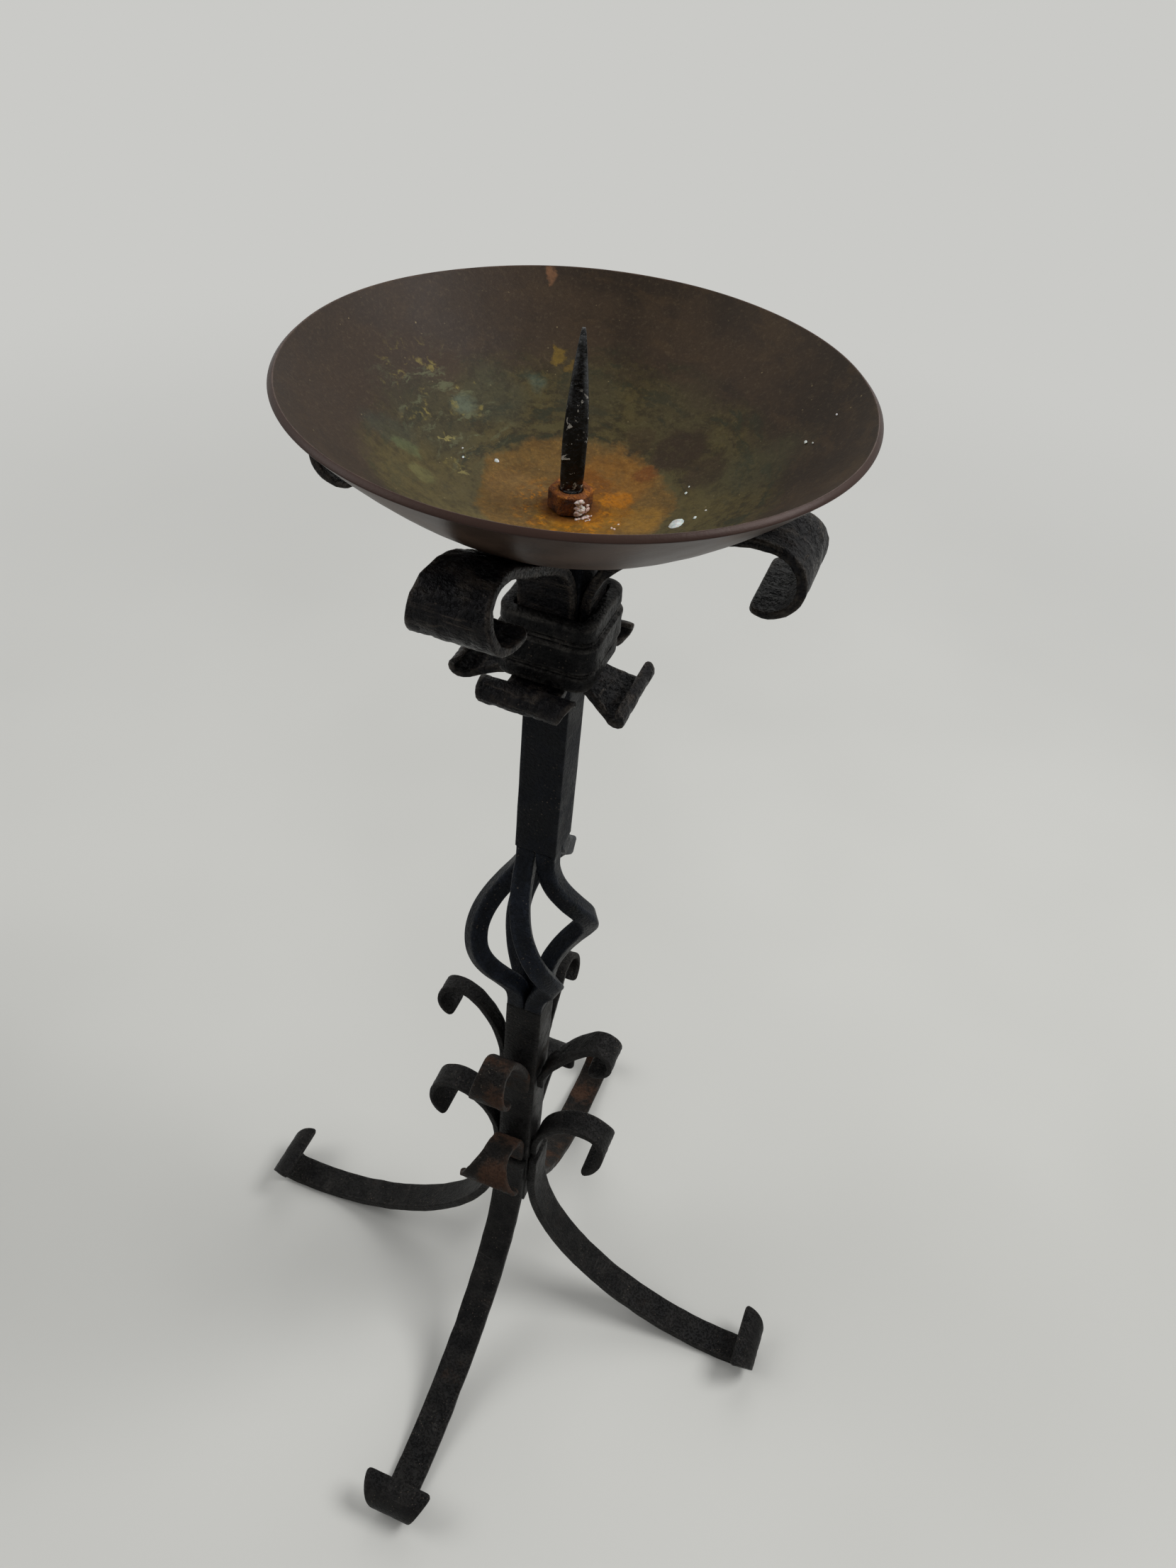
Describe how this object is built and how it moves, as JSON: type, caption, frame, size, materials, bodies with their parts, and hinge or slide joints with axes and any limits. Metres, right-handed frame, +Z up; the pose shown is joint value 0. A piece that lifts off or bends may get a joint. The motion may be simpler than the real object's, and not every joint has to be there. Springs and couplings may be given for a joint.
{
  "type": "torchere candle stand",
  "caption": "Forged floor candle stand on curled feet with leaves, an open twisted basket in its square post, scroll straps under a wide metal drip pan, and a pricket.",
  "frame": {"origin": "on the floor, at the centre of the four feet", "axes": "+Z up along the post, -Y towards the front leg, +X towards the right leg"},
  "size_m": [0.5178, 0.5178, 0.9564],
  "materials": {
    "black_iron": "forged and waxed black, satin",
    "worn_iron": "forged, dull dark grey",
    "rusty_iron": "forged, dull with brown rust",
    "old_copper": "copper, dark brown patina with verdigris streaks",
    "rusted_steel": "orange rust"
  },
  "bodies": {
    "root": {"post": "black_iron", "strap_collar": "black_iron", "lower_shaft": "black_iron", "pricket": "black_iron", "scroll_strap_front": "black_iron", "scroll_strap_right": "black_iron", "scroll_strap_back": "black_iron", "scroll_strap_left": "black_iron", "basket_bar_front": "black_iron", "basket_bar_right": "black_iron", "basket_bar_back": "black_iron", "basket_bar_left": "black_iron", "upper_leaf_front": "worn_iron", "upper_leaf_right": "worn_iron", "upper_leaf_back": "worn_iron", "upper_leaf_left": "worn_iron", "leg_front": "worn_iron", "leg_right": "worn_iron", "leg_back": "worn_iron", "leg_left": "worn_iron", "lower_leaf_front": "rusty_iron", "lower_leaf_right": "rusty_iron", "lower_leaf_back": "rusty_iron", "lower_leaf_left": "rusty_iron", "drip_pan": "old_copper", "pan_nut": "rusted_steel"}
  },
  "joints": []
}
